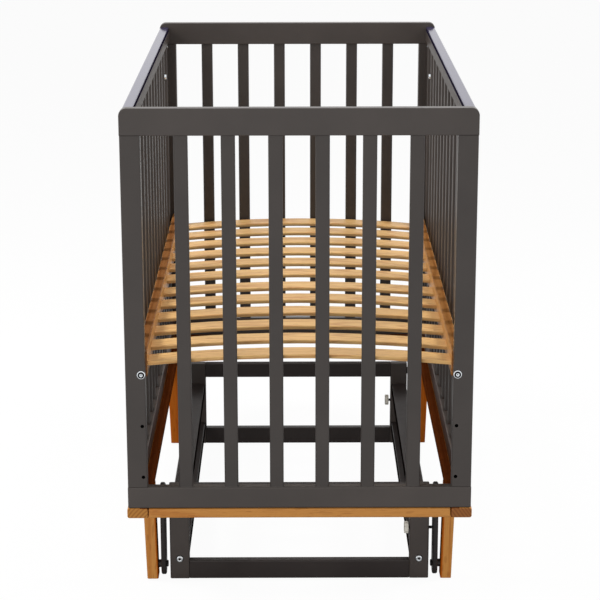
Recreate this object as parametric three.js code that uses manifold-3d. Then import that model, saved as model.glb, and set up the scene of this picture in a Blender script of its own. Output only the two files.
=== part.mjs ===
// Pendulum crib: a slatted bed box on four legs, hung by four arms from a floor stand so that it
// swings lengthwise. Millimetres; X across, Y along, Z up; origin on the floor under the middle.
// Drawn at rest: arms hanging straight down, crib level, both lock screws clear of the arms.
import * as THREE from 'three';
import { mergeVertices } from 'three/addons/utils/BufferGeometryUtils.js';
import Module from 'manifold-3d';

const wasm = await Module();
wasm.setup();

// Whole crib
const cribWidth = 652;
const cribLength = 1240;
const panelBottom = 220;
const endPanelTop = 986;
const seam = 0.2; // hairline between glued or screwed faces
const overrun = 5; // how far a cutting tool or a joined end runs past the face

// Boards of the panels
const boardEdge = 2.5; // rounding of the long edges
const slatWidth = 26;
const slatThickness = 14;
const slatEdge = 3;

// End panels
const endThickness = 20;
const endTopRail = 50;
const endTopCorner = 14;
const endTopEase = 1;
const endBottomRail = 42.5;
const endRailEdge = 3;
const endStile = 37.5;
const endStileInset = 0.5; // stiles stand back from the rail ends
const endSlatCount = 6;
const tenonLength = 10;
const tenonShoulder = 3; // step round each tenon
const mortiseFit = 0.3;

// Side panels, between the end panels
const sideThickness = 22;
const sideBottomRail = 40;
const sideTopRail = 22; // below the cap
const sideStile = 40;
const sideStileRecess = 4; // from the rails' inner face
const sideSlatCount = 12;
const sideSlatRecess = 6;
const capDrop = 10; // cap top below the end panels' top
const capHeight = 10;
const capWall = 2;
const capInset = 1; // the cap is this much narrower than the rail on each face
const capEdge = 3;

// Slatted bed, at the highest of its three heights
const bedRailThickness = 18;
const bedRailHeight = 50;
const bedRailBottom = 476;
const bedRailGap = 1; // to the side panel
const bedSlatCount = 12;
const bedSlatWidth = 53;
const bedSlatThickness = 8;
const bedSlatEdge = 2.4;
const bedSlatMargin = 9; // last slat to end panel
const bedMiddleStep = 115; // wider step between the two halves
const bedSlatSeat = 18.4; // underside of a slat's end above the rail's bottom
const bedSlatRise = 13.5; // height of the arch
const bedSlatLetIn = 9;
const bedSlatFit = 0.3;

// Bolts that hold the bed, and the holes for its three heights
const bedBoltRise = 9.4; // above the rail's bottom
const bedHeightStep = 101.2;
const bedHeightCount = 3;
const bedBoltDiameter = 6;
const bedBoltHole = 6.6;
const bedBoltReach = 35; // into the bed rail
const bedBoltHead = 16;
const bedBoltHeadHeight = 3.2;
const bedBoltCollar = 11;
const bedBoltCollarHeight = 1.2;
const bedBoltSocket = 5;
const bedBoltSocketDepth = 3;

// Base frame under the panels
const baseOverhang = 2; // the base is this much wider than the panels on each side
const beamWidth = 40;
const beamThickness = 20;
const beamEdge = 3.5;
const beamEase = 1.2;
const crossBeamRelief = 0.6; // the cross beams' top below the side beams' top
const crossBeamGap = 0.6; // end of a cross beam to the side beam

// Legs
const footHeight = 3.5; // the feet clear the floor
const footWidth = 22.5;
const footDepth = 38;
const legTopWidth = 24;
const legTopDepth = 44;
const legLean = 4.5; // the foot stands this much further in than the top
const legEdge = 3;

// Pendulum arms between the stand and the legs
const pivotInset = 195; // from the crib's end to the arms
const legGap = 6; // arm to leg
const postGap = 7.5; // post to arm
const armThickness = 10;
const armWidth = 44;
const armEdge = 2;
const upperPivotDrop = 20; // below the top of the stand
const lowerPivot = 29.5;
const pinDiameter = 8;
const pinFit = 0.3;
const pinHead = 13.4;
const pinHeadHeight = 3.4;
const pinSocket = 5;
const pinSocketDepth = 2;
const bushDiameter = 16;
const studReach = 26; // upper stud into the post
const boltReach = 16; // lower bolt into the leg
const endClearance = 2; // bottom of a blind hole to the pin's tip
const chamfer = 0.8;

// Stand on the floor
const postWidth = 39;
const postDepth = 20;
const postEase = 1;
const standHeight = 200;
const lowerCrossRail = 39;
const upperCrossRail = 34;
const crossThickness = 20;
const longRailWidth = 35;
const longRailThickness = 20;
const lowerRailBottom = 33;
const upperRailBottom = 129;

// Lock screws through the right-hand posts
const lockHeight = 106;
const lockRod = 6;
const lockRodFit = 0.4;
const lockTipGap = 0.6; // tip to arm
const lockTipTaper = 1.2;
const lockHole = 7; // in every arm
const knobGap = 2; // knob to post
const knobDiameter = 25.5;
const knobThickness = 8.5;
const knobEase = 1.2;
const knobFlute = 1.1; // depth of the grip flutes
const knobFluteCount = 10;
const farLockOpening = 2; // the far screw is wound back this much further

// Fineness of the round shapes
const roundSides = 16;
const archSides = 10;
const cornerSides = 4;
const armSides = 5;
const fluteSides = 4;
const halfTurn = Math.PI;
const quarterTurn = Math.PI / 2;

// Places that several pieces share
const innerLength = cribLength - 2 * endThickness;
const baseTop = panelBottom - seam;
const beamBottom = baseTop - beamThickness;
const beamInner = cribWidth / 2 + baseOverhang - beamWidth;
const legTop = beamBottom - seam;
const footInner = beamInner - legLean;
const armOuter = footInner - legGap;
const armInner = armOuter - armThickness;
const postOuter = armInner - postGap;
const postInner = postOuter - postWidth;
const pivotY = cribLength / 2 - pivotInset;
const stileOuter = cribWidth / 2 - endStileInset;
const stileInner = stileOuter - endStile;
const sideInner = cribWidth / 2 - sideThickness;
const bedRailOuter = sideInner - bedRailGap;
const bedRailInner = bedRailOuter - bedRailThickness;
const bedRailLength = innerLength - 2 * seam;
const bedBoltX = (stileInner + bedRailOuter) / 2;
const endOpeningBottom = panelBottom + endBottomRail;
const endOpeningTop = endPanelTop - endTopRail;
const sideCapTop = endPanelTop - capDrop;
const sideRailLedge = sideCapTop - capHeight; // where the cap's skirts end
const sideRailUnderside = sideRailLedge - sideTopRail;
const bedSlatEndHeight = bedRailBottom + bedSlatSeat;
const bedBoltHeight = bedRailBottom + bedBoltRise;
const upperPivot = standHeight - upperPivotDrop;

const graphite = new THREE.MeshStandardMaterial({ color: 0x4a4643, roughness: 0.55, metalness: 0 });
const shade = new THREE.MeshStandardMaterial({ color: 0x3a3533, roughness: 0.5, metalness: 0 });
const honey = new THREE.MeshStandardMaterial({ color: 0xa9713f, roughness: 0.45, metalness: 0 });
const beech = new THREE.MeshStandardMaterial({ color: 0xd2a871, roughness: 0.5, metalness: 0 });
const gloss = new THREE.MeshStandardMaterial({ color: 0x55505a, roughness: 0.2, metalness: 0 });
const ivory = new THREE.MeshStandardMaterial({ color: 0xc9c4ba, roughness: 0.5, metalness: 0 });
const black = new THREE.MeshStandardMaterial({ color: 0x1c1b1b, roughness: 0.4, metalness: 0 });
const chrome = new THREE.MeshStandardMaterial({ color: 0xc8ccd0, roughness: 0.2, metalness: 1 });

// A closed three.js geometry as a solid that can be joined and cut.
function toSolid(geometry) {
  const bare = geometry.clone();
  bare.deleteAttribute('normal');
  bare.deleteAttribute('uv');
  const welded = mergeVertices(bare);
  const vertProperties = new Float32Array(welded.attributes.position.array);
  const triVerts = new Uint32Array(welded.index.array);
  return new wasm.Manifold(new wasm.Mesh({ numProp: 3, vertProperties, triVerts }));
}

function toGeometry(solid) {
  const mesh = solid.getMesh();
  const geometry = new THREE.BufferGeometry();
  const places = new Float32Array(mesh.vertProperties);
  geometry.setAttribute('position', new THREE.BufferAttribute(places, 3));
  geometry.setIndex(new THREE.BufferAttribute(new Uint32Array(mesh.triVerts), 1));
  geometry.computeVertexNormals();
  return geometry;
}

function cut(geometry, ...tools) {
  const left = tools.reduce((solid, tool) => solid.subtract(toSolid(tool)), toSolid(geometry));
  return toGeometry(left);
}

function join(...geometries) {
  return toGeometry(geometries.map(toSolid).reduce((whole, part) => whole.add(part)));
}

// Rectangle with rounded corners, centred.
function roundedRectangle(width, height, radius) {
  const shape = new THREE.Shape();
  const x = width / 2 - radius;
  const y = height / 2 - radius;
  shape.absarc(x, y, radius, 0, quarterTurn);
  shape.absarc(-x, y, radius, quarterTurn, halfTurn);
  shape.absarc(-x, -y, radius, halfTurn, halfTurn + quarterTurn);
  shape.absarc(x, -y, radius, halfTurn + quarterTurn, 2 * halfTurn);
  return shape;
}

// Extrusion centred on z = 0, with an eased rim where ease is not zero.
function extrude(shape, length, ease = 0, curveSegments = 1) {
  const geometry = new THREE.ExtrudeGeometry(shape, {
    depth: length - 2 * ease,
    bevelEnabled: ease > 0,
    bevelThickness: ease,
    bevelSize: ease,
    bevelOffset: -ease,
    bevelSegments: 1,
    curveSegments,
  });
  return geometry.translate(0, 0, ease - length / 2);
}

// Bars with rounded long edges, centred, lying along the axis they are named for.
function barZ(width, depth, length, edge, ease) {
  return extrude(roundedRectangle(width, depth, edge), length, ease);
}

function barY(width, height, length, edge, ease) {
  return barZ(width, height, length, edge, ease).rotateX(quarterTurn);
}

function barX(depth, height, length, edge, ease) {
  return barZ(height, depth, length, edge, ease).rotateY(quarterTurn);
}

// Solid turned about the X axis, from pairs of place along X and radius.
function turnX(profile, sides = roundSides) {
  const points = profile.map(([along, radius]) => new THREE.Vector2(radius, along));
  return new THREE.LatheGeometry(points, sides).rotateZ(-quarterTurn);
}

function rodX(diameter, start, end, sides) {
  const radius = diameter / 2;
  return turnX([[start, 0], [start, radius], [end, radius], [end, 0]], sides);
}

function rodY(diameter, start, end, sides) {
  return rodX(diameter, start, end, sides).rotateZ(quarterTurn);
}

// Closed skin over rings of points; the rings are convex and all alike in number.
function loft(rings) {
  const size = rings[0].length;
  const last = (rings.length - 1) * size;
  const faces = [];
  for (let level = 0; level < last; level += size) {
    for (let i = 0; i < size; i += 1) {
      const next = (i + 1) % size;
      faces.push(level + i, level + next, level + size + next);
      faces.push(level + i, level + size + next, level + size + i);
    }
  }
  for (let i = 1; i < size - 1; i += 1) {
    faces.push(0, i + 1, i);
    faces.push(last, last + i, last + i + 1);
  }
  const geometry = new THREE.BufferGeometry().setFromPoints(rings.flat());
  geometry.setIndex(faces);
  geometry.computeVertexNormals();
  return geometry;
}

// Centres of pieces that leave equal gaps between themselves and at both ends of an opening.
function spread(opening, count, width) {
  const gap = (opening - count * width) / (count + 1);
  const step = gap + width;
  return Array.from({ length: count }, (_, i) => (i - (count - 1) / 2) * step);
}

function piece(name, geometry, material, x = 0, y = 0, z = 0) {
  const mesh = new THREE.Mesh(geometry, material);
  mesh.name = name;
  mesh.position.set(x, y, z);
  return mesh;
}

function group(...children) {
  const holder = new THREE.Group();
  holder.add(...children);
  return holder;
}

// The same pieces at the opposite side and end.
function turned(...children) {
  const holder = group(...children);
  holder.rotation.z = halfTurn;
  return holder;
}

// A piece by each of the four arms; the left ones are the right ones turned half way round.
function atArms(name, geometry, material) {
  return group(
    piece(`${name}_near_right`, geometry, material, 0, -pivotY),
    piece(`${name}_far_right`, geometry, material, 0, pivotY),
    turned(
      piece(`${name}_far_left`, geometry, material, 0, -pivotY),
      piece(`${name}_near_left`, geometry, material, 0, pivotY),
    ),
  );
}

// Board of the given silhouette standing across the crib, centred on its thickness.
function standUp(geometry) {
  return geometry.rotateX(quarterTurn);
}

function endTopRailBoard() {
  const shape = new THREE.Shape();
  const half = cribWidth / 2;
  shape.moveTo(-half, endOpeningTop);
  shape.lineTo(half, endOpeningTop);
  shape.absarc(half - endTopCorner, endPanelTop - endTopCorner, endTopCorner, 0, quarterTurn);
  shape.absarc(endTopCorner - half, endPanelTop - endTopCorner, endTopCorner, quarterTurn, halfTurn);
  const board = standUp(extrude(shape, endThickness, endTopEase, cornerSides));
  const mortises = spread(2 * stileInner, endSlatCount, slatWidth).map((x) => (
    tenon(mortiseFit).translate(x, 0, 0)
  ));
  return cut(board, ...mortises);
}

// Tongue on top of an end slat, or with a clearance the slot that takes it.
function tenon(fit) {
  const width = slatWidth - 2 * tenonShoulder + 2 * fit;
  const depth = slatThickness - 2 * tenonShoulder + 2 * fit;
  const top = endOpeningTop + tenonLength + fit;
  const bottom = endOpeningTop - overrun;
  return new THREE.BoxGeometry(width, depth, top - bottom).translate(0, 0, (top + bottom) / 2);
}

function endComb() {
  const rail = barX(endThickness, endBottomRail, cribWidth, endRailEdge, beamEase);
  rail.translate(0, 0, panelBottom + endBottomRail / 2);
  const bottom = endOpeningBottom - overrun;
  const top = endOpeningTop - seam;
  const slats = spread(2 * stileInner, endSlatCount, slatWidth).flatMap((x) => [
    barZ(slatWidth, slatThickness, top - bottom, slatEdge).translate(x, 0, (top + bottom) / 2),
    tenon(0).translate(x, 0, 0),
  ]);
  return join(rail, ...slats);
}

// Right-hand stile about its own middle, with a hole for each height of the bed.
function endStileBoard() {
  const height = endOpeningTop - endOpeningBottom - 2 * seam;
  const board = barZ(endStile, endThickness, height, boardEdge);
  const middle = (stileInner + stileOuter) / 2;
  const centre = (endOpeningTop + endOpeningBottom) / 2;
  const holes = Array.from({ length: bedHeightCount }, (_, i) => (
    rodY(bedBoltHole, -endThickness, endThickness)
      .translate(bedBoltX - middle, 0, bedBoltHeight - i * bedHeightStep - centre)
  ));
  return cut(board, ...holes);
}

// The near end panel; the far one is this turned half way round.
function endPanel(end, right, left) {
  const middle = (stileInner + stileOuter) / 2;
  const centre = (endOpeningTop + endOpeningBottom) / 2;
  const stile = endStileBoard();
  const other = piece(`end_stile_${end}_${left}`, stile, graphite, -middle, 0, centre);
  other.rotation.z = halfTurn;
  const panel = group(
    piece(`end_top_rail_${end}`, endTopRailBoard(), graphite),
    piece(`end_slats_${end}`, endComb(), graphite),
    piece(`end_stile_${end}_${right}`, stile, graphite, middle, 0, centre),
    other,
  );
  panel.position.y = endThickness / 2 - cribLength / 2;
  return panel;
}

// Right-hand side panel: rails, end stiles and slats glued into one frame.
function sidePanel() {
  const middle = cribWidth / 2 - sideThickness / 2;
  const length = innerLength - 2 * seam;
  const bottomRail = barY(sideThickness, sideBottomRail, length, boardEdge);
  bottomRail.translate(middle, 0, panelBottom + sideBottomRail / 2);
  const railHeight = sideRailLedge - sideRailUnderside;
  const topRail = barY(sideThickness, railHeight, length, boardEdge / 2);
  topRail.translate(middle, 0, sideRailUnderside + railHeight / 2);
  const tongueBottom = sideRailLedge - overrun;
  const tongueTop = sideCapTop - capWall - seam;
  const tongueWidth = sideThickness - 2 * (capInset + capWall + seam);
  const tongue = new THREE.BoxGeometry(tongueWidth, length, tongueTop - tongueBottom);
  tongue.translate(middle, 0, (tongueTop + tongueBottom) / 2);
  const bottom = panelBottom + sideBottomRail - overrun;
  const top = sideRailUnderside + overrun;
  const upright = (width, depth, x, y) => (
    barZ(depth, width, top - bottom, boardEdge).translate(x, y, (top + bottom) / 2)
  );
  const slatX = sideInner + sideSlatRecess + slatThickness / 2;
  const slats = spread(innerLength - 2 * sideStile, sideSlatCount, slatWidth).map((y) => (
    upright(slatWidth, slatThickness, slatX, y)
  ));
  const stileX = middle + sideStileRecess / 2;
  const stileY = (length - sideStile) / 2;
  const stiles = [-stileY, stileY].map((y) => (
    upright(sideStile, sideThickness - sideStileRecess, stileX, y)
  ));
  return join(bottomRail, topRail, tongue, ...stiles, ...slats);
}

// Smooth cover that straddles the tongue of a side panel's top rail.
function railCap() {
  const half = sideThickness / 2 - capInset;
  const inner = half - capWall;
  const bottom = sideRailLedge + seam;
  const shape = new THREE.Shape();
  shape.moveTo(inner, bottom);
  shape.lineTo(half, bottom);
  shape.absarc(half - capEdge, sideCapTop - capEdge, capEdge, 0, quarterTurn);
  shape.absarc(capEdge - half, sideCapTop - capEdge, capEdge, quarterTurn, halfTurn);
  shape.lineTo(-half, bottom);
  shape.lineTo(-inner, bottom);
  shape.lineTo(-inner, sideCapTop - capWall);
  shape.lineTo(inner, sideCapTop - capWall);
  const middle = cribWidth / 2 - sideThickness / 2;
  return standUp(extrude(shape, innerLength - 2 * seam, 0, 2)).translate(middle, 0, 0);
}

function bedSlatPlaces() {
  const half = bedSlatCount / 2;
  const last = innerLength / 2 - bedSlatMargin - bedSlatWidth / 2;
  const pitch = (last - bedMiddleStep / 2) / (half - 1);
  const far = Array.from({ length: half }, (_, i) => bedMiddleStep / 2 + i * pitch);
  return [...far.map((y) => -y).reverse(), ...far];
}

// Arched slat; its two ends run level into the bed rails.
function bedSlat() {
  const section = roundedRectangle(bedSlatWidth, bedSlatThickness, bedSlatEdge).getPoints(1);
  const ring = (x, z) => section.slice(0, -1).map((point) => (
    new THREE.Vector3(x, point.x, z + point.y)
  ));
  const base = bedSlatEndHeight + bedSlatThickness / 2;
  const end = bedRailInner + bedSlatLetIn;
  const arch = Array.from({ length: archSides + 1 }, (_, i) => {
    const share = (2 * i) / archSides - 1;
    return ring(share * bedRailInner, base + bedSlatRise * (1 - share * share));
  });
  return loft([ring(-end, base), ...arch, ring(end, base)]);
}

function bedRail() {
  const board = barY(bedRailThickness, bedRailHeight, bedRailLength, boardEdge);
  board.translate(bedRailInner + bedRailThickness / 2, 0, bedRailBottom + bedRailHeight / 2);
  const depth = bedSlatLetIn + bedSlatFit;
  const width = bedSlatWidth + 2 * bedSlatFit;
  const height = bedSlatThickness + 2 * bedSlatFit;
  const slots = bedSlatPlaces().map((y) => (
    new THREE.BoxGeometry(depth + overrun, width, height)
      .translate(bedRailInner + (depth - overrun) / 2, y, bedSlatEndHeight + bedSlatThickness / 2)
  ));
  const end = bedRailLength / 2;
  const bore = rodY(bedBoltHole, end - bedBoltReach - endClearance, end + overrun);
  bore.translate(bedBoltX, 0, bedBoltHeight);
  const otherBore = rodY(bedBoltHole, -end - overrun, bedBoltReach + endClearance - end);
  otherBore.translate(bedBoltX, 0, bedBoltHeight);
  return cut(board, ...slots, bore, otherBore);
}

// Bolt with a stepped round head and a hexagonal socket, lying along X with its seat at zero.
function bedBolt() {
  const shank = bedBoltDiameter / 2;
  const tip = endThickness + bedBoltReach;
  const face = -bedBoltHeadHeight;
  const head = bedBoltHead / 2;
  const collar = bedBoltCollar / 2;
  const step = face - bedBoltCollarHeight;
  const body = turnX([
    [step, 0],
    [step, collar - chamfer],
    [step + chamfer, collar],
    [face, collar],
    [face, head - chamfer],
    [face + chamfer, head],
    [-seam, head],
    [-seam, shank],
    [tip - chamfer, shank],
    [tip, shank - chamfer],
    [tip, 0],
  ]);
  return cut(body, rodX(bedBoltSocket, step - overrun, step + bedBoltSocketDepth, 6));
}

function baseSideBeam() {
  const beam = barY(beamWidth, beamThickness, cribLength, beamEdge, beamEase);
  return beam.translate(beamInner + beamWidth / 2, 0, beamBottom + beamThickness / 2);
}

function baseCrossBeam() {
  const height = beamThickness - crossBeamRelief;
  const beam = barX(endThickness, height, 2 * (beamInner - crossBeamGap), beamEdge, beamEase);
  return beam.translate(0, (endThickness - cribLength) / 2, beamBottom + height / 2);
}

// Inner face of a leg at a height.
function legInnerAt(height) {
  return footInner + (legLean * (height - footHeight)) / (legTop - footHeight);
}

function leg() {
  const ring = (width, depth, height) => (
    roundedRectangle(width, depth, legEdge).getPoints(1).slice(0, -1).map((point) => (
      new THREE.Vector3(legInnerAt(height) + width / 2 + point.x, point.y, height)
    ))
  );
  const post = loft([ring(footWidth, footDepth, footHeight), ring(legTopWidth, legTopDepth, legTop)]);
  const end = legInnerAt(lowerPivot) + boltReach + endClearance;
  const bore = rodX(pinDiameter + 2 * pinFit, footInner - overrun, end);
  return cut(post, bore.translate(0, 0, lowerPivot));
}

// Arm with rounded ends; a bush faces the leg below, a fixed stud turns in the post above.
function arm() {
  const height = upperPivot - lowerPivot + armWidth;
  const shape = roundedRectangle(height, armWidth, armWidth / 2);
  const plank = extrude(shape, armThickness, armEdge, armSides).rotateY(quarterTurn);
  plank.translate(armInner + armThickness / 2, 0, (upperPivot + lowerPivot) / 2);
  const bushEnd = legInnerAt(lowerPivot - bushDiameter / 2) - pinFit;
  const bush = rodX(bushDiameter, armOuter - armEdge, bushEnd).translate(0, 0, lowerPivot);
  const pin = pinDiameter / 2;
  const stud = turnX([
    [postOuter - studReach, 0],
    [postOuter - studReach, pin - chamfer],
    [postOuter - studReach + chamfer, pin],
    [postOuter + pinFit, pin],
    [postOuter + pinFit, bushDiameter / 2],
    [armInner + armEdge, bushDiameter / 2],
    [armInner + armEdge, pin],
    [armOuter - armEdge, pin],
    [armOuter - armEdge, pinHead / 2],
    [armOuter + pinHeadHeight - chamfer, pinHead / 2],
    [armOuter + pinHeadHeight, pinHead / 2 - chamfer],
    [armOuter + pinHeadHeight, 0],
  ]);
  const whole = join(plank, bush, stud.translate(0, 0, upperPivot));
  const bore = rodX(pinDiameter + 2 * pinFit, armInner - overrun, bushEnd + overrun);
  const lock = rodX(lockHole, armInner - overrun, armOuter + overrun);
  return cut(whole, bore.translate(0, 0, lowerPivot), lock.translate(0, 0, lockHeight));
}

// Bolt through an arm's lower end into the leg.
function pivotBolt() {
  const pin = pinDiameter / 2;
  const seat = armInner - pinFit;
  const face = seat - pinHeadHeight;
  const head = pinHead / 2;
  const tip = legInnerAt(lowerPivot) + boltReach;
  const body = turnX([
    [face, 0],
    [face, head - chamfer],
    [face + chamfer, head],
    [seat, head],
    [seat, pin],
    [tip - chamfer, pin],
    [tip, pin - chamfer],
    [tip, 0],
  ]);
  const socket = rodX(pinSocket, face - overrun, face + pinSocketDepth, 6);
  return cut(body, socket).translate(0, 0, lowerPivot);
}

// Plain post of the stand, with the blind hole for its arm's stud.
function post() {
  const board = barZ(postWidth, postDepth, standHeight, boardEdge, postEase);
  board.translate((postInner + postOuter) / 2, 0, standHeight / 2);
  const bottom = postOuter - studReach - endClearance;
  const bore = rodX(pinDiameter + 2 * pinFit, bottom, postOuter + overrun);
  return cut(board, bore.translate(0, 0, upperPivot));
}

function drilledPost() {
  const bore = rodX(lockRod + 2 * lockRodFit, postInner - overrun, postOuter + overrun);
  return cut(post(), bore.translate(0, 0, lockHeight));
}

function standPosts() {
  return group(
    piece('stand_post_near_right', drilledPost(), graphite, 0, -pivotY),
    piece('stand_post_far_right', drilledPost(), graphite, 0, pivotY),
    turned(
      piece('stand_post_far_left', post(), graphite, 0, -pivotY),
      piece('stand_post_near_left', post(), graphite, 0, pivotY),
    ),
  );
}

function standRails() {
  const crossLength = 2 * (postInner - seam);
  const low = barX(crossThickness, lowerCrossRail, crossLength, boardEdge);
  const high = barX(crossThickness, upperCrossRail, crossLength, boardEdge);
  const lowZ = lowerCrossRail / 2;
  const highZ = standHeight - upperCrossRail / 2;
  const longLength = 2 * (pivotY - postDepth / 2 - seam);
  const long = barY(longRailWidth, longRailThickness, longLength, boardEdge);
  const longX = (postInner + postOuter) / 2;
  const lower = lowerRailBottom + longRailThickness / 2;
  const upper = upperRailBottom + longRailThickness / 2;
  return group(
    piece('stand_lower_cross_rail_near', low, graphite, 0, -pivotY, lowZ),
    piece('stand_lower_cross_rail_far', low, graphite, 0, pivotY, lowZ),
    piece('stand_upper_cross_rail_near', high, graphite, 0, -pivotY, highZ),
    piece('stand_upper_cross_rail_far', high, graphite, 0, pivotY, highZ),
    piece('stand_lower_long_rail_right', long, graphite, longX, 0, lower),
    piece('stand_lower_long_rail_left', long, graphite, -longX, 0, lower),
    piece('stand_upper_long_rail_right', long, graphite, longX, 0, upper),
    piece('stand_upper_long_rail_left', long, graphite, -longX, 0, upper),
  );
}

// Screw with a fluted knob on the inner side of its post and a bare tip that faces the arm.
function lockScrew() {
  const steps = knobFluteCount * fluteSides;
  const rim = Array.from({ length: steps }, (_, i) => {
    const angle = (2 * halfTurn * i) / steps;
    const dip = (knobFlute * (1 - Math.cos(angle * knobFluteCount))) / 2;
    const radius = knobDiameter / 2 - dip;
    return new THREE.Vector2(radius * Math.cos(angle), radius * Math.sin(angle));
  });
  const back = postInner - knobGap;
  const knob = extrude(new THREE.Shape(rim), knobThickness, knobEase).rotateY(quarterTurn);
  knob.translate(back - knobThickness / 2, 0, 0);
  const rod = lockRod / 2;
  const tip = armInner - lockTipGap;
  const screw = turnX([
    [back - knobThickness / 2, 0],
    [back - knobThickness / 2, rod],
    [tip - lockTipTaper, rod],
    [tip, rod - lockTipTaper],
    [tip, 0],
  ]);
  return join(knob, screw);
}

function bed() {
  const slat = bedSlat();
  const slats = bedSlatPlaces().map((y, i) => piece(`bed_slat_${i + 1}`, slat, beech, 0, y));
  const rail = bedRail();
  return group(
    piece('bed_rail_right', rail, beech),
    turned(piece('bed_rail_left', rail, beech)),
    ...slats,
  );
}

// The two bolts of the near end; those of the far end are these turned half way round.
function bedBolts(end, right, left) {
  const bolt = bedBolt().rotateZ(quarterTurn);
  return group(
    piece(`bed_bolt_${end}_${right}`, bolt, chrome, bedBoltX, -cribLength / 2, bedBoltHeight),
    piece(`bed_bolt_${end}_${left}`, bolt, chrome, -bedBoltX, -cribLength / 2, bedBoltHeight),
  );
}

function box() {
  const side = sidePanel();
  const cap = railCap();
  return group(
    endPanel('near', 'right', 'left'),
    turned(endPanel('far', 'left', 'right')),
    piece('side_panel_right', side, graphite),
    turned(piece('side_panel_left', side, graphite)),
    piece('side_cap_right', cap, gloss),
    turned(piece('side_cap_left', cap, gloss)),
  );
}

function base() {
  const side = baseSideBeam();
  const cross = baseCrossBeam();
  return group(
    piece('base_side_beam_right', side, honey),
    turned(piece('base_side_beam_left', side, honey)),
    piece('base_cross_beam_near', cross, honey),
    turned(piece('base_cross_beam_far', cross, honey)),
    atArms('leg', leg(), honey),
  );
}

function locks() {
  const screw = lockScrew();
  return group(
    piece('lock_screw_near', screw, ivory, 0, -pivotY, lockHeight),
    piece('lock_screw_far', screw, ivory, -farLockOpening, pivotY, lockHeight),
  );
}

const crib = group(
  standPosts(),
  standRails(),
  atArms('pendulum_arm', arm(), shade),
  atArms('pivot_bolt', pivotBolt(), black),
  locks(),
  base(),
  box(),
  bed(),
  bedBolts('near', 'right', 'left'),
  turned(bedBolts('far', 'left', 'right')),
);
crib.name = 'pendulum_crib';

export default crib;
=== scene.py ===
# Pendulum crib: finishes, small fasteners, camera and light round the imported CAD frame, in metres.
import math
from random import Random

import bmesh
import bpy
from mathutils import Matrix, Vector


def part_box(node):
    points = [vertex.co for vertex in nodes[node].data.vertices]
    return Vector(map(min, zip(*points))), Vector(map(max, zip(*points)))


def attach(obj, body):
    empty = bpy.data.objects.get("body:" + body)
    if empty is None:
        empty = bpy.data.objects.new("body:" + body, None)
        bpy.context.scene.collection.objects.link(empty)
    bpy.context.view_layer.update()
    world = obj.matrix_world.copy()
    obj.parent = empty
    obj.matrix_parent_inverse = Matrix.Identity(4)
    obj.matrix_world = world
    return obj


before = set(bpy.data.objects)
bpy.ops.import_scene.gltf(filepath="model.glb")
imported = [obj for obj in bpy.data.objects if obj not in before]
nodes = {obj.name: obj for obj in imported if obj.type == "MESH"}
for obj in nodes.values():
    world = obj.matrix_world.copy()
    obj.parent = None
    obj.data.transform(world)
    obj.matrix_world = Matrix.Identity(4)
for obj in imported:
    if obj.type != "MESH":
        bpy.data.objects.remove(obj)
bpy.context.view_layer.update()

scene = bpy.context.scene

MM = 0.001
X, Y, Z = 0, 1, 2

# The photograph's camera, worked out from the edges of the crib.
SENSOR_WIDTH = 36
LENS = 123.83
SHIFT_Y = 0.0851
CAMERA_PLACE = (-0.0108, -4.3079, 1.6004)
CAMERA_TURN = (73.8305, 0.0754, -0.2084)

# Light. Only a small share of the floor's colour is lit, and carries the shadow; the rest glows.
# Mirrored, the floor is dim under the crib and white farther off.
WORLD_LIGHT = 0.3
FLOOR_HALF = 30
FLOOR_DROP = 0.2 * MM
FLOOR_SHADE_SHARE = 0.05
FLOOR_SEEN = 0.9
FLOOR_LIT = 0.3
MIRROR_REACH = (0.55, 1.7)
MIRROR_SHARE = (0.05, 0.95)
LAMP_TARGET = (0, 0, 0.5)
LAMPS = {
    "front_lamp": {"place": (-0.9, -6.0, 0.9), "size": 2.4, "power": 175},
    "left_lamp": {"place": (-2.4, 0.1, 2.6), "size": 1.0, "power": 80},
    "right_lamp": {"place": (2.4, 0.1, 2.6), "size": 1.0, "power": 62},
    "top_lamp": {"place": (0, 0.2, 3.4), "size": 2.6, "power": 24},
}

# Colours of paint, plastic and metal.
GRAPHITE = (0.0525, 0.0425, 0.0375)
# The stand's rails: the posts' graphite paint darkened to half, as painted shade from the crib above.
STAND_RAIL_SHADED = (0.026, 0.020, 0.0185)
DARK = (0.012, 0.009, 0.0085)
BLACK = (0.012, 0.012, 0.012)
BLACK_STEEL = (0.03, 0.03, 0.03)
STEEL = (0.90, 0.94, 0.97)
IVORY = (0.74, 0.71, 0.63)
CAP_TONES = ((0.022, 0.017, 0.062), (0.03, 0.024, 0.08))
# Painted shade on the cover's upright skirts.
CAP_SKIRT_SHADE = (0.012, 0.010, 0.022)
RING_SHADE = (0.02, 0.02, 0.022)
BORE_SHADE = (0.002, 0.002, 0.002)
WHITE = (1, 1, 1)

# Colours of wood: the early and the late part of a growth ring, and the beams' end grain.
BEECH = ((0.69, 0.425, 0.168), (0.42, 0.18, 0.057))
BED_RAIL = ((0.60, 0.30, 0.09), (0.34, 0.13, 0.03))
HONEY = ((0.56, 0.245, 0.055), (0.40, 0.13, 0.018))
END_GRAIN = {"left": (0.46, 0.20, 0.04), "right": (0.275, 0.10, 0.022)}

# Shares by which a colour changes on a piece or on part of one.
TOP_RAIL_SHARE = 0.92
STILE_SHARE = 0.77
SLAT_SHARE = 0.73
SIDE_PANEL_SHARE = 0.9
# Painted shade: the lower long rails lie in the shadow of the upper ones; inner faces of both are
# dimmer.
LOWER_RAIL_SHADE_SHARE = 0.45
UPPER_INNER_SHARE = 0.3
LOWER_INNER_SHARE = 0.7
LEG_SHARE = 1.03
WARM_SHARE = (1.06, 0.58, 0.36)
# Painted shade: the base's inner faces, the legs' inner faces and the bed rails' top faces.
INNER_SHADE = (0.27, 0.155, 0.17)
LEG_SHADE = (0.85, 0.5, 0.25)
RAIL_TOP_SHADES = {"left": (0.33, 0.27, 0.3), "right": (0.42, 0.37, 0.38)}

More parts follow.
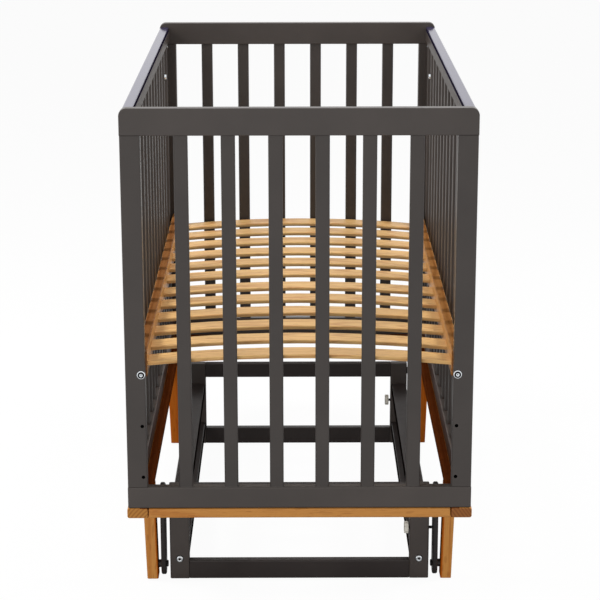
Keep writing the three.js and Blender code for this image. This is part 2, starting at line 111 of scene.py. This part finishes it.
# Heights, widths and slopes at which a finish changes.
LEDGE = 304.2 * MM
SIDE_RAIL_TOP = 262 * MM
END_RAIL_TOP = 263 * MM
GRIP_LENGTH = 8.6 * MM
BED_HEIGHT_STEP = 101.2 * MM
BORE_SHADE_RADIUS = 3.4 * MM
INWARD_LEAN = -0.1
SKIRT_SLOPE = 0.25
END_SLOPE = 0.8

# Paints, with the gloss as seen face-on and edge-on.
SATIN = {"roughness": 0.33, "gloss": (0.5, 0.5), "relief": 0.05}
PANEL_SATIN = {"roughness": 0.36, "gloss": (0.5, 0.06), "relief": 0.015}
ARM_SATIN = {"roughness": 0.3, "gloss": (0.5, 0.2), "relief": 0.05}
RAIL_MATT = {"roughness": 0.42, "gloss": (0.4, 0.05), "relief": 0.05}
UPPER_RAIL_MATT = {**RAIL_MATT, "gloss": (0.4, 0.3)}
FACING_REACH = (0.5, 0.9)

# Sawn wood, with the distance from ring to ring.
BEECH_SLAT = {"pitch": 3 * MM, "roughness": 0.42, "gloss": (0.35, 0.2)}
BEECH_RAIL = {"pitch": 4 * MM, "roughness": 0.42, "gloss": (0.35, 0.15)}
HONEY_BEAM = {"pitch": 3 * MM, "roughness": 0.4, "gloss": (0.35, 0)}
HONEY_BOARD = {"pitch": 5 * MM, "roughness": 0.36, "gloss": (0.4, 0.1)}

# Noises: the scale per metre and the detail. One drawn out along an axis has its scale across and
# along it.
PAINT_CLOUD = (9, 4)
PAINT_PEEL = (700, 2)
PAINT_WEAR = (60, 3)
PAINT_GRAIN = (420.0, 14.0, 3)
WOOD_WANDER = (9.0, 1.3, 2)
WOOD_PATCHES = (18.0, 2.6, 2)
WOOD_PORES = (900.0, 22.0, 2)
WOOD_FLECKS = (260.0, 45.0, 0)
WANDER_ROUGHNESS = 0.45
CAP_CLOUD = (14, 3)
CAP_RIPPLE = (90, 1)
CAP_WEAR = (45, 3)
MOULD_CLOUD = (60, 3)
MOULD_PEEL = (1500, 2)
METAL_BRUSH = (800, 3)
METAL_CLOUD = (120, 2)

# Mottling: the stops, and the shares of a colour at them.
MOTTLE_STOPS = (0.3, 0.7)
PAINT_SPREAD = (0.88, 1.12)
GRIP_SPREAD = (0.92, 1.05)
ROD_SPREAD = (0.8, 1.2)
SHADE_LINING_SPREAD = (0.9, 1.1)
METAL_SPREAD = (0.9, 1)

# Wear: what it adds to a roughness.
PAINT_WORN = (-0.05, 0.05)
WOOD_WORN = (0.08, -0.06)
SHADE_LINING_WORN = (-0.06, 0.06)
METAL_WORN = (-0.05, 0.07)

# Growth rings, patches, pores and flecks.
RING_STOPS = (0, 0.5, 0.88, 1)
LATE_EDGE_SHARE = 1.15
CUT_SHARE = 0.7
CUT_LINES = ((0.3, WHITE), (0.9, (0.68, 0.6, 0.55)))
PATCH_SHARES = (0.15, 0.85)
PORE_TONES = ((0.36, (0.72, 0.66, 0.6)), (0.5, WHITE))
PORE_SHARE = 0.5
FLECK_TONES = ((0.66, WHITE), (0.74, (0.74, 0.66, 0.6)))
FLECK_SHARE = 0.6
WANDER_PITCHES = 9
PITH_DISTANCE = (0.03, 0.12)
NOISE_SHIFT = 9
WOOD_RELIEF = 0.18
WOOD_RELIEF_DEPTH = 0.15 * MM
HEART_DEPTH = (8 * MM, 30 * MM)
HEART_TILT = (0.02, 0.06)
SLAT_SPREAD = (0.95, 1.05)

# Plastic and metal. The rings of a plated head lie at shares of a span from its centre.
CAP_DENSITY = {"left": 1.66, "right": 1.42}
CAP_ROUGHNESS = (0.1, 0.16)
CAP_GLOSS = 0.5
CAP_RELIEF = 0.05
GRIP_ROUGHNESS = (0.34, 0.44)
GRIP_GLOSS = 0.5
MATT_GLOSS = 0.2
MOULD_RELIEF = 0.1
FINE_RELIEF_DEPTH = 0.1 * MM
SHADE_LINING_ROUGHNESS = 0.5
BLACK_STEEL_ROUGHNESS = 0.35
BRIGHT_STEEL_ROUGHNESS = 0.14
PLATED_ROUGHNESS = (0.1, 0.24)
METAL_RELIEF = 0.06
METAL_RELIEF_DEPTH = 0.05 * MM
HEAD_SPAN = 10 * MM
# The dark rings are painted shade in the socket and at the step.
HEAD_RINGS = (
    (0.10, BORE_SHADE),
    (0.15, STEEL),
    (0.30, STEEL),
    (0.32, RING_SHADE),
    (0.63, RING_SHADE),
    (0.65, STEEL),
)

# Edges.
WELD_DISTANCE = 0.01 * MM
EDGE_WIDTH = 0.5 * MM
EDGE_ANGLE = 25

# Bolts that only show their heads.
BOLT_SIDES = 36
BOLT_TURNS = [2 * math.pi * i / BOLT_SIDES for i in range(BOLT_SIDES)]
DOME_STEPS = 6
DOME_FLAT_SHARE = 0.6
RIM_SHARE = 0.3
SOCKET_DEPTH_SHARE = 0.7
# Each head sits on a thin near-black disc of painted shade, a little wider than the head.
SHADE_WASHER_THICKNESS = 0.5 * MM
STAND_BOLT = {"diameter": 14 * MM, "height": 3.6 * MM, "socket": 4.4 * MM, "shade_washer": 15.4 * MM}
STAND_BOLT_HEIGHTS = {"low": 43 * MM, "high": 139 * MM}
SIDE_BOLT = {"diameter": 12 * MM, "height": 4.5 * MM, "socket": 4 * MM, "shade_washer": 17 * MM}
SIDE_BOLT_Y = 484.3 * MM
SIDE_BOLT_HEIGHT = 876 * MM
SLAT_RECESS = 6 * MM
SIDE_SCREW = {"diameter": 5 * MM, "height": 0.9 * MM, "socket": 1.6 * MM, "shade_washer": 5.2 * MM}
SIDE_SCREW_Y = 580 * MM
SIDE_SCREW_HEIGHT = 933 * MM
STILE_RECESS = 4 * MM

# Sockets of a Mix node that mixes colours.
MIX_SHARE, MIX_FIRST, MIX_SECOND = 0, 6, 7
MIX_RESULT = 2


def add_camera():
    data = bpy.data.cameras.new("camera")
    data.sensor_width = SENSOR_WIDTH
    data.lens = LENS
    data.shift_y = SHIFT_Y
    camera = bpy.data.objects.new("camera", data)
    camera.location = CAMERA_PLACE
    camera.rotation_euler = [math.radians(angle) for angle in CAMERA_TURN]
    scene.collection.objects.link(camera)
    scene.camera = camera


# Sets an input of a node to a value, or links it to a socket.
def feed(tree, node, socket, value):
    if isinstance(value, bpy.types.NodeSocket):
        tree.links.new(value, node.inputs[socket])
    else:
        node.inputs[socket].default_value = value


def add(tree, kind, inputs=None, **settings):
    node = tree.nodes.new(kind)
    for name, value in settings.items():
        setattr(node, name, value)
    for socket, value in (inputs or {}).items():
        feed(tree, node, socket, value)
    return node


def maths(tree, operation, *values):
    return add(tree, "ShaderNodeMath", dict(enumerate(values)), operation=operation).outputs[0]


def between(tree, value, low, high, reach=(0, 1)):
    return add(tree, "ShaderNodeMapRange", {
        "Value": value,
        "From Min": reach[0],
        "From Max": reach[1],
        "To Min": low,
        "To Max": high,
    }).outputs[0]


# Colours blended by a share; colours and share are plain values or sockets.
def blended(tree, share, first, second, blend="MIX"):
    node = add(tree, "ShaderNodeMix", {MIX_SHARE: share}, data_type="RGBA", blend_type=blend)
    for socket, colour in ((MIX_FIRST, first), (MIX_SECOND, second)):
        plain = not isinstance(colour, bpy.types.NodeSocket)
        feed(tree, node, socket, (*colour, 1) if plain else colour)
    return node.outputs[MIX_RESULT]


def multiplied(tree, tone, multiplier, share=1):
    return blended(tree, share, tone, multiplier, "MULTIPLY")


# 1 for rays that show a background: straight to the camera, mirrored or through glass.
def shown_background(tree):
    rays = add(tree, "ShaderNodeLightPath").outputs
    plain = maths(tree, "MAXIMUM", rays["Is Camera Ray"], rays["Is Glossy Ray"])
    return maths(tree, "MAXIMUM", plain, rays["Is Transmission Ray"])


def add_world():
    world = bpy.data.worlds.new("studio")
    scene.world = world
    world.use_nodes = True
    tree = world.node_tree
    tree.nodes.clear()
    level = between(tree, shown_background(tree), WORLD_LIGHT, 1)
    back = add(tree, "ShaderNodeBackground", {"Color": (*WHITE, 1), "Strength": level})
    add(tree, "ShaderNodeOutputWorld", {"Surface": back.outputs[0]})


def add_floor():
    mesh = bpy.data.meshes.new("floor")
    signs = [(-1, -1), (1, -1), (1, 1), (-1, 1)]
    corners = [(x * FLOOR_HALF, y * FLOOR_HALF, -FLOOR_DROP) for x, y in signs]
    mesh.from_pydata(corners, [], [(0, 1, 2, 3)])
    floor = bpy.data.objects.new("floor", mesh)
    scene.collection.objects.link(floor)
    material = bpy.data.materials.new("floor")
    material.use_nodes = True
    tree = material.node_tree
    tree.nodes.clear()
    seen = add(tree, "ShaderNodeLightPath").outputs["Is Camera Ray"]
    place = add(tree, "ShaderNodeTexCoord").outputs["Object"]
    away = add(tree, "ShaderNodeVectorMath", {0: place}, operation="LENGTH").outputs["Value"]
    share = between(tree, away, *MIRROR_SHARE, MIRROR_REACH)
    mirrored = maths(tree, "MULTIPLY", shown_background(tree), share)
    direct = maths(tree, "MULTIPLY", seen, 1 - FLOOR_SHADE_SHARE)
    glowing = maths(tree, "MAXIMUM", mirrored, direct)
    tone = blended(tree, seen, [FLOOR_LIT] * 3, [FLOOR_SEEN] * 3)
    matt = add(tree, "ShaderNodeBsdfDiffuse", {"Color": tone})
    glow = add(tree, "ShaderNodeEmission", {"Color": (*WHITE, 1), "Strength": 1})
    both = add(tree, "ShaderNodeMixShader", {0: glowing, 1: matt.outputs[0], 2: glow.outputs[0]})
    add(tree, "ShaderNodeOutputMaterial", {"Surface": both.outputs[0]})
    mesh.materials.append(material)


# A broad lamp low by the camera, one over the crib, and two smaller ones whose light falls
# through the slats of the sides.
def add_lamps():
    for name, lamp in LAMPS.items():
        data = bpy.data.lights.new(name, "AREA")
        data.shape = "SQUARE"
        data.size = lamp["size"]
        data.energy = lamp["power"]
        item = bpy.data.objects.new(name, data)
        item.location = lamp["place"]
        toward = Vector(LAMP_TARGET) - Vector(lamp["place"])
        item.rotation_mode = "QUATERNION"
        item.rotation_quaternion = toward.to_track_quat("-Z", "Y")
        item.visible_glossy = False
        scene.collection.objects.link(item)


# Material with a Principled shader; the pattern gives its inputs, as plain values or sockets.
def surface(name, pattern):
    material = bpy.data.materials.new(name)
    material.use_nodes = True
    tree = material.node_tree
    tree.nodes.clear()
    place = add(tree, "ShaderNodeTexCoord").outputs["Object"]
    shader = add(tree, "ShaderNodeBsdfPrincipled", pattern(tree, place))
    add(tree, "ShaderNodeOutputMaterial", {"Surface": shader.outputs[0]})
    return material


def noise(tree, place, scale, detail, roughness=0.5):
    return add(tree, "ShaderNodeTexNoise", {
        "Vector": place,
        "Scale": scale,
        "Detail": detail,
        "Roughness": roughness,
    }).outputs["Fac"]


# Noise drawn out along an axis.
def grained(tree, place, axis, across, along, detail, roughness=0.5, offset=(0, 0, 0)):
    scale = [across] * 3
    scale[axis] = along
    moved = add(tree, "ShaderNodeMapping", {"Vector": place, "Scale": scale, "Location": offset})
    return noise(tree, moved.outputs[0], 1, detail, roughness)


def ramp(tree, value, *stops):
    node = add(tree, "ShaderNodeValToRGB", {"Fac": value})
    elements = node.color_ramp.elements
    while len(elements) < len(stops):
        elements.new(1)
    for element, (position, colour) in zip(elements, stops):
        element.position = position
        element.color = (*colour, 1)
    return node.outputs["Color"]


def tinted(colour, share):
    return tuple(part * share for part in colour)


def mottled(tree, cloud, colour, spread):
    tones = [tinted(colour, share) for share in spread]
    return ramp(tree, cloud, *zip(MOTTLE_STOPS, tones))


def worn(tree, cloud, roughness, spread):
    return between(tree, cloud, *(roughness + part for part in spread))


def bump(tree, height, strength, distance=FINE_RELIEF_DEPTH):
    inputs = {"Height": height, "Strength": strength, "Distance": distance}
    return add(tree, "ShaderNodeBump", inputs).outputs[0]


def coordinate(tree, vector, axis):
    return add(tree, "ShaderNodeSeparateXYZ", {0: vector}).outputs[axis]


def surface_normal(tree):
    return add(tree, "ShaderNodeTexCoord").outputs["Normal"]


# Distance from a line through a point along one of the axes.
def radius_round(tree, place, centre, axis):
    keep = [1, 1, 1]
    keep[axis] = 0
    flat = add(tree, "ShaderNodeVectorMath", {0: place, 1: keep}, operation="MULTIPLY").outputs[0]
    spot = [part * share for part, share in zip(centre, keep)]
    return add(tree, "ShaderNodeVectorMath", {0: flat, 1: spot}, operation="DISTANCE").outputs["Value"]


# 1 where a value is below a limit.
def below(tree, value, limit):
    return maths(tree, "LESS_THAN", value, limit)


# 1 on faces that turn to the middle of the crib, along X or Y.
def inward(tree, place, normal):
    lean = add(tree, "ShaderNodeVectorMath", {0: place, 1: normal}, operation="MULTIPLY").outputs[0]
    least = maths(tree, "MINIMUM", coordinate(tree, lean, X), coordinate(tree, lean, Y))
    return below(tree, least, INWARD_LEAN)


# Share of a surface that faces up.
def upward(tree, _place, normal):
    return maths(tree, "MAXIMUM", coordinate(tree, normal, Z), 0)


# Inner faces of the base, with the strip of its top faces that the bed box leaves in the shade.
def inward_and_ledge(tree, place, normal):
    aside = maths(tree, "ABSOLUTE", coordinate(tree, place, X))
    strip = maths(tree, "MULTIPLY", upward(tree, place, normal), below(tree, aside, LEDGE))
    return maths(tree, "MAXIMUM", inward(tree, place, normal), strip)


# Value that changes towards a surface seen edge-on, such as a gloss that is lost there. One that
# doesn't change stays a plain number.
def by_facing(tree, face_on, edge_on):
    if face_on == edge_on:
        return face_on
    weight = add(tree, "ShaderNodeLayerWeight").outputs["Facing"]
    return between(tree, weight, face_on, edge_on, FACING_REACH)


# Satin paint over wood: slight mottling, fine orange peel and the grain's ghost. A change takes
# the tone and the gloss, and gives them back altered on part of the piece.
def paint(name, colour, axis, roughness, gloss, relief, change=None):
    def pattern(tree, place):
        cloud = noise(tree, place, *PAINT_CLOUD)
        peel = noise(tree, place, *PAINT_PEEL)
        grain = grained(tree, place, axis, *PAINT_GRAIN)
        tone = mottled(tree, cloud, colour, PAINT_SPREAD)
        level = by_facing(tree, *gloss)
        if change:
            tone, level = change(tree, place, tone, level)
        return {
            "Base Color": tone,
            "Roughness": worn(tree, noise(tree, place, *PAINT_WEAR), roughness, PAINT_WORN),
            "Specular IOR Level": level,
            "Normal": bump(tree, maths(tree, "ADD", peel, grain), relief),
        }

    return surface(name, pattern)


# Slats dimmer than the rail that they stand on.
def dim_slats(tree, place, tone, level):
    foot = below(tree, coordinate(tree, place, Z), END_RAIL_TOP)
    return blended(tree, foot, multiplied(tree, tone, [SLAT_SHARE] * 3), tone), level


# Warm light from the base on the inner faces of a side panel's bottom rail.
def warm_foot(tree, place, tone, level):
    low = below(tree, coordinate(tree, place, Z), SIDE_RAIL_TOP)
    warm = maths(tree, "MULTIPLY", low, inward(tree, place, surface_normal(tree)))
    return blended(tree, warm, tone, multiplied(tree, tone, WARM_SHARE)), level


# Inner faces in the shade, dimmer by a share and without gloss.
def dim_inside(share):
    def change(tree, place, tone, level):
        inside = inward(tree, place, surface_normal(tree))
        tone = blended(tree, inside, tone, multiplied(tree, tone, [share] * 3))
        return tone, between(tree, inside, level, 0)

    return change


# Bores along Y, round the centres given, painted near black and without gloss as painted shade.
def shaded_bores(centres):
    def change(tree, place, tone, level):
        for centre in centres:
            inside = below(tree, radius_round(tree, place, centre, Y), BORE_SHADE_RADIUS)
            tone = blended(tree, inside, tone, BORE_SHADE)
            level = between(tree, inside, level, 0)
        return tone, level

    return change


# Sawn wood: growth rings round a heart or a pith outside the board, pores, flecks and a darker
# end grain. Painted shade, with a loss of gloss, lies where a mask says.
def wood(name, colours, axis, seed, pitch, roughness, gloss, end_grain=None, multiplier=None,
         where=inward, heart=None, tilt=0):
    light, dark = colours
    random = Random(seed)
    pith = heart or [random.uniform(*PITH_DISTANCE) * random.choice((-1, 1)) for _ in range(3)]
    shift = [random.uniform(-NOISE_SHIFT, NOISE_SHIFT) for _ in range(3)]
    along = [0, 0, 0]
    along[axis] = 1

    def rings(tree, place):
        wander = grained(tree, place, axis, *WOOD_WANDER, WANDER_ROUGHNESS, shift)
        board = add(tree, "ShaderNodeMapping", {"Vector": place, "Rotation": (0, tilt, 0)}).outputs[0]
        reach = radius_round(tree, board, pith, axis)
        bent = maths(tree, "MULTIPLY_ADD", wander, WANDER_PITCHES * pitch, reach)
        return maths(tree, "PINGPONG", maths(tree, "DIVIDE", bent, pitch), 1)

    def long_grain(tree, place, ring, pore):
        ring_tones = (light, light, tinted(dark, LATE_EDGE_SHARE), dark)
        tone = ramp(tree, ring, *zip(RING_STOPS, ring_tones))
        patch = grained(tree, place, axis, *WOOD_PATCHES, offset=shift)
        tone = blended(tree, between(tree, patch, *PATCH_SHARES), tone, light)
        tone = multiplied(tree, tone, ramp(tree, pore, *PORE_TONES), PORE_SHARE)
        fleck = grained(tree, place, axis, *WOOD_FLECKS, offset=shift)
        return multiplied(tree, tone, ramp(tree, fleck, *FLECK_TONES), FLECK_SHARE)

    def end_share(tree, normal):
        lean = add(tree, "ShaderNodeVectorMath", {0: normal, 1: along}, operation="DOT_PRODUCT")
        return maths(tree, "GREATER_THAN", maths(tree, "ABSOLUTE", lean.outputs["Value"]), END_SLOPE)

    def pattern(tree, place):
        ring = rings(tree, place)
        pore = grained(tree, place, axis, *WOOD_PORES, offset=shift)
        normal = surface_normal(tree)
        cut = multiplied(tree, end_grain or tinted(dark, CUT_SHARE), ramp(tree, ring, *CUT_LINES))
        tone = blended(tree, end_share(tree, normal), long_grain(tree, place, ring, pore), cut)
        level = by_facing(tree, *gloss)
        # Painted shade where the mask says, with its gloss taken away.
        if multiplier:
            shaded = where(tree, place, normal)
            tone = blended(tree, shaded, tone, multiplied(tree, tone, multiplier))
            level = between(tree, shaded, level, 0)
        return {
            "Base Color": tone,
            "Roughness": worn(tree, pore, roughness, WOOD_WORN),
            "Specular IOR Level": level,
            "Normal": bump(tree, pore, WOOD_RELIEF, WOOD_RELIEF_DEPTH),
        }

    return surface(name, pattern)


# Glossy cover of the side rails; its upright skirts are painted nearly black and matt, as painted
# shade along the cover's lower edge.
def gloss_plastic(name, density):
    def pattern(tree, place):
        skirt = below(tree, coordinate(tree, surface_normal(tree), Z), SKIRT_SLOPE)
        tone = ramp(tree, noise(tree, place, *CAP_CLOUD), *zip(MOTTLE_STOPS, CAP_TONES))
        return {
            "Base Color": blended(tree, skirt, tone, CAP_SKIRT_SHADE),
            "Roughness": between(tree, noise(tree, place, *CAP_WEAR), *CAP_ROUGHNESS),
            "IOR": density,
            "Specular IOR Level": between(tree, skirt, CAP_GLOSS, 0),
            "Normal": bump(tree, noise(tree, place, *CAP_RIPPLE), CAP_RELIEF),
        }

    return surface(name, pattern)


# Lock screw: a moulded grip with a blackened rod; the grip ends at a place along X.
def grip_and_rod(name, grip_end):
    def pattern(tree, place):
        cloud = noise(tree, place, *MOULD_CLOUD)
        grip = below(tree, coordinate(tree, place, X), grip_end)
        ivory = mottled(tree, cloud, IVORY, GRIP_SPREAD)
        black = mottled(tree, cloud, BLACK, ROD_SPREAD)
        return {
            "Base Color": blended(tree, grip, black, ivory),
            "Roughness": between(tree, cloud, *GRIP_ROUGHNESS),
            "Specular IOR Level": between(tree, grip, MATT_GLOSS, GRIP_GLOSS),
            "Normal": bump(tree, noise(tree, place, *MOULD_PEEL), MOULD_RELIEF),
        }

    return surface(name, pattern)


# Near-black painted shade for the bolts' sockets and the thin discs under their heads.
def shade_lining(name, colour, roughness):
    def pattern(tree, place):
        cloud = noise(tree, place, *MOULD_CLOUD)
        return {
            "Base Color": mottled(tree, cloud, colour, SHADE_LINING_SPREAD),
            "Roughness": worn(tree, cloud, roughness, SHADE_LINING_WORN),
            "Specular IOR Level": MATT_GLOSS,
            "Normal": bump(tree, noise(tree, place, *MOULD_PEEL), MOULD_RELIEF),
        }

    return surface(name, pattern)


def metal(name, colour, roughness):
    def pattern(tree, place):
        brushed = noise(tree, place, *METAL_BRUSH)
        cloud = noise(tree, place, *METAL_CLOUD)
        return {
            "Base Color": mottled(tree, cloud, colour, METAL_SPREAD),
            "Metallic": 1,
            "Roughness": worn(tree, brushed, roughness, METAL_WORN),
            "Normal": bump(tree, brushed, METAL_RELIEF, METAL_RELIEF_DEPTH),
        }

    return surface(name, pattern)


# Plated bolt lying along Y about a centre, with its socket and step painted dark as painted shade.
def plated_head(name, centre):
    def pattern(tree, place):
        brushed = noise(tree, place, *METAL_BRUSH)
        size = maths(tree, "MULTIPLY", radius_round(tree, place, centre, Y), 1 / HEAD_SPAN)
        return {
            "Base Color": ramp(tree, size, *HEAD_RINGS),
            "Metallic": 1,
            "Roughness": between(tree, brushed, *PLATED_ROUGHNESS),
            "Normal": bump(tree, brushed, METAL_RELIEF, METAL_RELIEF_DEPTH),
        }

    return surface(name, pattern)


# Modifiers that weld the split corners, round the edges and even out the normals.
def ease_edges(piece):
    weld = piece.modifiers.new("weld", "WELD")
    weld.merge_threshold = WELD_DISTANCE
    bevel = piece.modifiers.new("bevel", "BEVEL")
    bevel.width = EDGE_WIDTH
    bevel.segments = 2
    bevel.limit_method = "ANGLE"
    bevel.angle_limit = math.radians(EDGE_ANGLE)
    bevel.use_clamp_overlap = True
    bevel.harden_normals = True


# Centres of the bores in an end stile, below the bolt in its top one.
def bore_places(end, side):
    low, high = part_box(f"bed_bolt_{end}_{side}")
    middle = (low + high) / 2
    return [(middle.x, 0, middle.z - step * BED_HEIGHT_STEP) for step in (1, 2)]


# A bed slat, sawn over a heart that lies below it and leans a little.
def slat_wood(name, seed):
    random = Random(seed)
    tones = [tinted(tone, random.uniform(*SLAT_SPREAD)) for tone in BEECH]
    low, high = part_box(name)
    heart = [0, random.uniform(low.y, high.y), low.z - random.uniform(*HEART_DEPTH)]
    tilt = random.uniform(*HEART_TILT)
    return wood(name, tones, X, seed, **BEECH_SLAT, heart=heart, tilt=tilt)


# Finishes that several nodes share, by the start of the nodes' names.
def shared_finishes():
    top_rail = tinted(GRAPHITE, TOP_RAIL_SHARE)
    # The stand's rails in painted shade, darker still on the lower long rails and on the inner faces.
    lower_rail = tinted(STAND_RAIL_SHADED, LOWER_RAIL_SHADE_SHARE)
    upper_inside = dim_inside(UPPER_INNER_SHARE)
    lower_inside = dim_inside(LOWER_INNER_SHARE)
    cross = paint("stand_cross_rail", STAND_RAIL_SHADED, X, **RAIL_MATT)
    upper = paint("stand_upper_rail", STAND_RAIL_SHADED, Y, **UPPER_RAIL_MATT, change=upper_inside)
    lower = paint("stand_lower_rail", lower_rail, Y, **RAIL_MATT, change=lower_inside)
    return {
        "end_top_rail": paint("graphite_rail", top_rail, X, **SATIN),
        "stand_post": paint("graphite_post", GRAPHITE, Z, **SATIN),
        "stand_lower_cross": cross,
        "stand_upper_cross": cross,
        "stand_upper_long": upper,
        "stand_lower_long": lower,
        "pendulum_arm": paint("dark_paint", DARK, Z, **ARM_SATIN),
        "pivot_bolt": metal("black_steel", BLACK_STEEL, BLACK_STEEL_ROUGHNESS),
    }


# Finish of a node that has its own.
def own_finish(name, seed):
    side = name.split("_")[-1]
    if name.startswith("bed_slat"):
        return slat_wood(name, seed)
    if name.startswith("bed_rail"):
        # Painted shade on the rails' top faces.
        return wood(name, BED_RAIL, Y, seed, **BEECH_RAIL, multiplier=RAIL_TOP_SHADES[side], where=upward)
    if name.startswith("base_side_beam"):
        # Painted shade on the inner faces and on the shaded strip of the top faces.
        return wood(name, HONEY, Y, seed, **HONEY_BEAM, end_grain=END_GRAIN[side], multiplier=INNER_SHADE,
                    where=inward_and_ledge)
    if name.startswith("base_cross_beam"):
        # Painted shade on the inner faces.
        return wood(name, HONEY, X, seed, **HONEY_BOARD, multiplier=INNER_SHADE)
    if name.startswith("leg"):
        tones = [tinted(tone, LEG_SHARE) for tone in HONEY]
        # Painted shade on the inner faces.
        return wood(name, tones, Z, seed, **HONEY_BOARD, multiplier=LEG_SHADE)
    if name.startswith("side_cap"):
        return gloss_plastic(name, CAP_DENSITY[side])
    if name.startswith("bed_bolt"):
        low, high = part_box(name)
        return plated_head(name, (low + high) / 2)
    if name.startswith("lock_screw"):
        low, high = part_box(name)
        return grip_and_rod(name, low.x + GRIP_LENGTH)
    if name.startswith("end_stile"):
        bores = shaded_bores(bore_places(*name.split("_")[2:]))
        return paint(name, tinted(GRAPHITE, STILE_SHARE), Z, **SATIN, change=bores)
    if name.startswith("end_slats"):
        return paint(name, GRAPHITE, Z, **SATIN, change=dim_slats)
    return paint(name, tinted(GRAPHITE, SIDE_PANEL_SHARE), Z, **PANEL_SATIN, change=warm_foot)


def dress_nodes():
    shared = shared_finishes()
    seeds = {name: seed for seed, name in enumerate(sorted(nodes), start=1)}
    for name, piece in nodes.items():
        matches = [finish for start, finish in shared.items() if name.startswith(start)]
        material = matches[0] if matches else own_finish(name, seeds[name])
        for slot in piece.material_slots:
            slot.material = material
        ease_edges(piece)


def circle(radius):
    return [radius] * BOLT_SIDES


# Distances from the middle of a hexagon to its edge, at each turn.
def hexagon(width):
    sixth = math.pi / 3
    return [width / 2 / math.cos((turn + sixth / 2) % sixth - sixth / 2) for turn in BOLT_TURNS]


# Ring of points round the Y axis at a depth, with its distance from the axis at each turn.
def ring_of(mesh, depth, distances):
    return [
        mesh.verts.new((distance * math.cos(turn), depth, distance * math.sin(turn)))
        for turn, distance in zip(BOLT_TURNS, distances)
    ]


def skin(mesh, first, second, material):
    for i in range(BOLT_SIDES):
        j = (i + 1) % BOLT_SIDES
        face = mesh.faces.new((first[i], first[j], second[j], second[i]))
        face.smooth = True
        face.material_index = material


# Button-head bolt on a thin disc of near-black painted shade, its seat at the origin and its head
# towards -Y; its socket is lined with the same painted shade.
def button_head(name, diameter, height, socket, shade_washer, materials):
    mesh = bmesh.new()
    radius = diameter / 2
    lift = SHADE_WASHER_THICKNESS
    shade_washer_rings = [
        ring_of(mesh, 0, circle(shade_washer / 2)),
        ring_of(mesh, -lift, circle(shade_washer / 2)),
        ring_of(mesh, -lift, circle(radius)),
    ]
    rim = lift + RIM_SHARE * height
    dome = [ring_of(mesh, -rim, circle(radius))]
    for step in range(1, DOME_STEPS + 1):
        angle = math.pi / 2 * step / DOME_STEPS
        reach = radius * (DOME_FLAT_SHARE + (1 - DOME_FLAT_SHARE) * math.cos(angle))
        rise = rim + (1 - RIM_SHARE) * height * math.sin(angle)
        dome.append(ring_of(mesh, -rise, circle(reach)))
    mouth = ring_of(mesh, -lift - height, hexagon(socket))
    floor = ring_of(mesh, -lift - height * (1 - SOCKET_DEPTH_SHARE), hexagon(socket))
    plated, black = 0, 1
    skin(mesh, shade_washer_rings[0], shade_washer_rings[1], black)
    skin(mesh, shade_washer_rings[1], shade_washer_rings[2], black)
    chain = [shade_washer_rings[2], *dome, mouth]
    for first, second in zip(chain, chain[1:]):
        skin(mesh, first, second, plated)
    skin(mesh, mouth, floor, black)
    for ring in (shade_washer_rings[0], floor):
        mesh.faces.new(ring).material_index = black
    bmesh.ops.recalc_face_normals(mesh, faces=mesh.faces)
    data = bpy.data.meshes.new(name)
    mesh.to_mesh(data)
    mesh.free()
    for material in materials:
        data.materials.append(material)
    piece = bpy.data.objects.new(name, data)
    scene.collection.objects.link(piece)
    return piece


def place_bolt(piece, place, turn, body):
    piece.location = place
    piece.rotation_euler = (0, 0, math.radians(turn))
    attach(piece, body)


# Bolts of the stand, on the near faces of the near posts and the far faces of the far ones.
def add_stand_bolts(materials):
    for end, turn, face in (("near", 0, 0), ("far", 180, 1)):
        for side in ("left", "right"):
            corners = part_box(f"stand_post_{end}_{side}")
            x = (corners[0].x + corners[1].x) / 2
            for level, height in STAND_BOLT_HEIGHTS.items():
                bolt = button_head(f"stand_bolt_{level}_{end}_{side}", **STAND_BOLT, materials=materials)
                place_bolt(bolt, (x, corners[face].y, height), turn, "stand")


# Bolts on the inner faces of the outermost slats of the side panels, and small screws on the
# stiles beside them.
def add_side_bolts(materials):
    low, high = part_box("side_panel_right")
    spots = (
        ("side_bolt", SIDE_BOLT, SLAT_RECESS, SIDE_BOLT_Y, SIDE_BOLT_HEIGHT),
        ("side_screw", SIDE_SCREW, STILE_RECESS, SIDE_SCREW_Y, SIDE_SCREW_HEIGHT),
    )
    for kind, sizes, recess, y, height in spots:
        for side, way in (("right", 1), ("left", -1)):
            for end, toward in (("near", -1), ("far", 1)):
                bolt = button_head(f"{kind}_{end}_{side}", **sizes, materials=materials)
                place_bolt(bolt, (way * (low.x + recess), toward * y, height), -90 * way, "crib")


add_camera()
add_world()
add_floor()
add_lamps()
dress_nodes()
bolt_materials = (
    metal("bright_steel", STEEL, BRIGHT_STEEL_ROUGHNESS),
    shade_lining("bolt_shade", BORE_SHADE, SHADE_LINING_ROUGHNESS),
)
add_stand_bolts(bolt_materials)
add_side_bolts(bolt_materials)

scene.view_settings.view_transform = "Standard"
